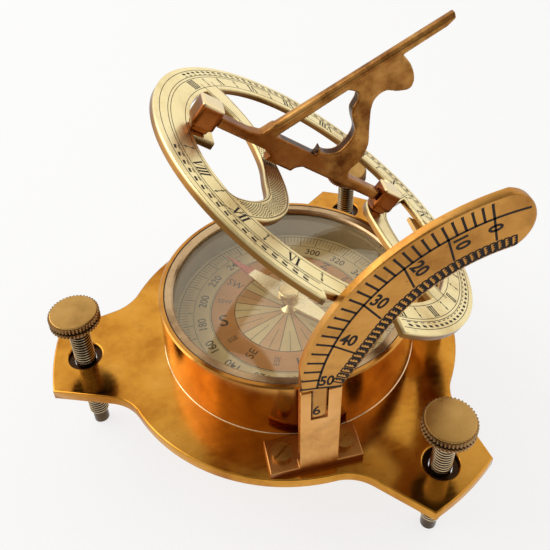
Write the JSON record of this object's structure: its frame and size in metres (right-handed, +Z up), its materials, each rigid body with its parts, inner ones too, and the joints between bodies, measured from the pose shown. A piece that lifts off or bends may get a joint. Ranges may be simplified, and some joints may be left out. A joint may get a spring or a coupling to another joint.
{
  "type": "sundial compass",
  "caption": "Folding equatorial sundial: tilting hour ring with a scrolled gnomon and a latitude arc over a glazed compass, on levelling screws.",
  "frame": {"origin": "on the compass box's axis, level with the points of the three levelling screws", "axes": "+X towards the dial's north (the ring's hinge), +Y away from the latitude arc, +Z up"},
  "size_m": [0.1169, 0.1263, 0.1248],
  "materials": {
    "base_brass": "aged, lacquered",
    "box_brass": "aged, polished",
    "ring_brass": "pale, engraved",
    "arc_brass": "aged, engraved",
    "dark_brass": "antiqued, brown",
    "needle_brass": "bright",
    "card": "printed",
    "window": "clear"
  },
  "bodies": {
    "body": {"base_plate": "base_brass", "compass_box": "box_brass", "glass": "window", "bezel": "box_brass", "compass_card": "card", "needle_pivot": "needle_brass", "hinge_bracket": "box_brass", "hinge_bracket_screws": "box_brass", "hinge_pin": "box_brass", "arc_bracket": "base_brass", "arc_bracket_screws": "dark_brass", "arc_pivot_pin": "dark_brass"},
    "ring": {"hour_ring": "ring_brass", "hinge_leaf": "box_brass", "hinge_leaf_rivets": "box_brass", "gnomon_pivots": "box_brass", "gnomon_post_south": "dark_brass", "gnomon_post_north": "dark_brass"},
    "gnomon": {"gnomon": "dark_brass"},
    "arc": {"latitude_arc": "arc_brass"},
    "needle": {"needle": "needle_brass", "needle_cap": "needle_brass"},
    "screw_1": {"levelling_screw_1": "dark_brass"},
    "screw_2": {"levelling_screw_2": "dark_brass"},
    "screw_3": {"levelling_screw_3": "dark_brass"}
  },
  "joints": [
    {"name": "ring_tilt", "type": "hinge", "parent": "body", "child": "ring", "pos_m": [0.044, 0, 0.05], "axis": [0, 1, 0], "range_deg": [-35.3, 54.7]},
    {"name": "gnomon_fold", "type": "hinge", "parent": "ring", "child": "gnomon", "pos_m": [0.01203, 0, 0.08324], "axis": [-0.8161, 0, 0.5779], "range_deg": [0, 90]},
    {"name": "arc_fold", "type": "hinge", "parent": "body", "child": "arc", "pos_m": [-0.0033, -0.0455, 0.0526], "axis": [1, 0, 0], "range_deg": [0, 90]},
    {"name": "needle_turn", "type": "hinge", "parent": "body", "child": "needle", "pos_m": [0, 0, 0.041], "axis": [0, 0, 1], "continuous": true},
    {"name": "screw_1_travel", "type": "slide", "parent": "body", "child": "screw_1", "axis": [0, 0, -1], "range_m": [-0.018, 0.012]},
    {"name": "screw_2_travel", "type": "slide", "parent": "body", "child": "screw_2", "axis": [0, 0, -1], "range_m": [-0.018, 0.012]},
    {"name": "screw_3_travel", "type": "slide", "parent": "body", "child": "screw_3", "axis": [0, 0, -1], "range_m": [-0.018, 0.012]}
  ]
}
